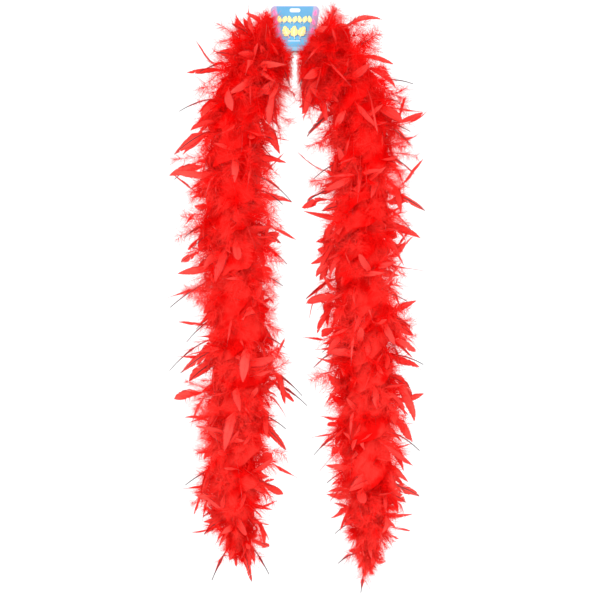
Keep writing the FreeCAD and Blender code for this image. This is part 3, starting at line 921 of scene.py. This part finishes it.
class Print:
    """Flat printed shapes, each laid on the front of the card."""

    def __init__(self, lift):
        panel = frame["nodes"]["card_front_panel"].data
        corners = [v.co for v in panel.vertices]
        self.card = BVHTree.FromPolygons(corners, [p.vertices[:] for p in panel.polygons])
        self.lift = lift
        self.pile = Pile()

    def laid(self, x, z):
        """The point of the print at x, z, just in front of the card."""
        hit = self.card.ray_cast(Vector((x, -0.1, z)), Vector((0, 1, 0)))[0]
        face = hit.y if hit else FLAT_CARD_FACE
        return (x, face - self.lift, z)

    def shape(self, spine, half):
        """A shape along a spine of x, z points, half as wide on each side."""
        way = unit(np.gradient(spine, axis=0))
        beside = np.stack([way[:, 1], -way[:, 0]], axis=1) * half[:, None]
        columns = [spine + beside * k for k in (-1, -0.5, 0, 0.5, 1)]
        grid = np.array([[self.laid(*column[i]) for column in columns] for i in range(len(spine))])
        self.pile.add(grid[None], 0.5, 0.5, 0.0)

    def feather(self, x, z, length, width, lean, curl):
        """A small generic feather: a curved blade with notched edges on a bare quill."""
        stations = 22
        share = np.linspace(0, 1, stations)
        angle = math.radians(lean) + curl * (share - 0.5)
        step = length / (stations - 1)
        spine = np.stack([np.cumsum(np.sin(angle)) * step, np.cumsum(np.cos(angle)) * step], axis=1)
        spine += np.array([x, z]) - spine[stations // 2]
        up_blade = np.clip((share - 0.2) / 0.8, 0, 1)
        notches = 1 - 0.28 * (np.arange(stations) % 4 == 1)
        blade = width / 2 * np.sin(np.pi * up_blade ** 0.75) ** 0.7 * notches
        quill = length * 0.018 * (1 - 0.7 * share)
        self.shape(spine, np.maximum(blade, quill))

    def bar(self, x0, x1, z, thickness):
        """A plain straight bar."""
        spine = np.stack([np.linspace(x0, x1, 8), np.full(8, z)], axis=1)
        self.shape(spine, np.full(8, thickness / 2))

    def finish(self, name, under, *inks):
        """The print's object, in an ink mottled between two colours, over a plain colour."""
        item = self.pile.object("card_print_" + name)
        dress(item, (plain(f"plain {name} ink", under), ink(name + " ink", *inks)))
        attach(item, "hang_card")


def printed_row(sheets, count, start, step, z, length, width, lean, curl, shadow, grow, quill):
    """A row of yellow feathers, each over a larger shadow to its lower right and under a pale quill."""
    shade, yellow, quills = sheets
    for index in range(count):
        x, turn = start + index * step, lean(index)
        shade.feather(x + shadow, z - shadow, length * grow, width * grow, turn, curl)
        yellow.feather(x, z, length, width, turn, curl)
        quills.feather(x, z, *quill, turn, curl - 0.1)


def card_print():
    """Rows of small feathers where the real card has its lettering, and feathers down its borders."""
    sheets = [Print(LAYER), Print(2 * LAYER), Print(3 * LAYER)]
    printed_row(
        sheets, 7, -0.0255, 0.0083, -0.0157, 0.0145, 0.0078, lambda index: 18 if index % 2 else -14,
        curl=0.5, shadow=0.0007, grow=1.12, quill=(0.0100, 0.0006),
    )
    printed_row(
        sheets, 3, -0.0145, 0.0128, -0.0360, 0.0225, 0.0135, lambda index: -22 + 22 * index,
        curl=0.6, shadow=0.0008, grow=1.10, quill=(0.0165, 0.0008),
    )
    shade, yellow, quills = sheets
    quills.bar(-0.0115, 0.0083, -0.0507, 0.0008)
    shade.finish("shade", (0.02, 0.14, 0.36), (0.02, 0.13, 0.34), (0.03, 0.17, 0.42))
    yellow.finish("yellow", (0.86, 0.76, 0.24), (0.82, 0.70, 0.20), (0.88, 0.80, 0.32))
    quills.finish("pale", (0.9, 0.9, 0.8), (0.82, 0.84, 0.74), (0.92, 0.92, 0.84))
    pink, veins = Print(LAYER), Print(2 * LAYER)
    for own in (-1, 1):
        for z, lean in ((-0.005, 12), (-0.020, -16), (-0.034, 14), (-0.048, -12), (-0.060, 10)):
            # Down the middle of the border, along the card's tapered side.
            x = own * (0.0352 + 0.185 * (z - 0.0065) * 0.93)
            pink.feather(x, z, 0.0135, 0.0066, own * lean, 0.5 * own)
            veins.feather(x, z, 0.0110, 0.0006, own * lean, 0.4 * own)
    pink.finish("pink", (0.75, 0.2, 0.45), (0.72, 0.16, 0.42), (0.80, 0.30, 0.56))
    veins.finish("magenta", (0.5, 0.03, 0.2), (0.45, 0.02, 0.18), (0.6, 0.06, 0.28))


def card():
    """The card's CAD parts in their materials, and its print."""
    looks = {
        "card_front_panel": printed_card_material(),
        "card_back_panel": white_card_material(),
        "card_staples": wire_material(),
    }
    for name, material in looks.items():
        for place in frame["nodes"][name].material_slots:
            place.material = material
    card_print()


def middle_cord():
    """The stretch of the core cord that is held in the card's pocket."""
    low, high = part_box("centre_cord")
    z = (low[2] + high[2]) / 2
    start, end = ROUTES["left"][0][0], ROUTES["right"][0][0]
    path = np.array([(x, 0, z) for x in np.linspace(start, end, 30)])
    pile = Pile()
    plait(pile, path)
    item = pile.object("centre_core_cord")
    dress(item, STRING)
    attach(item, "centre")
    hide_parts("centre_cord")


# ---------------------------------------------------------------- build
camera()
studio()

DOWN = (plain("plain down", (0.86, 0.012, 0.012)), down_material())
# The plain vane is lighter than the down, partly its own colour and partly painted sheen.
VANE = (plain("plain vane", (0.93, 0.045, 0.036)), vane_material())
QUILL = (plain("plain quill", (0.45, 0.03, 0.03)), quill_material())
STRING = (plain("plain string", (0.55, 0.02, 0.02)), string_material())

for side in SIDES:
    strand(side)
card()
middle_cord()
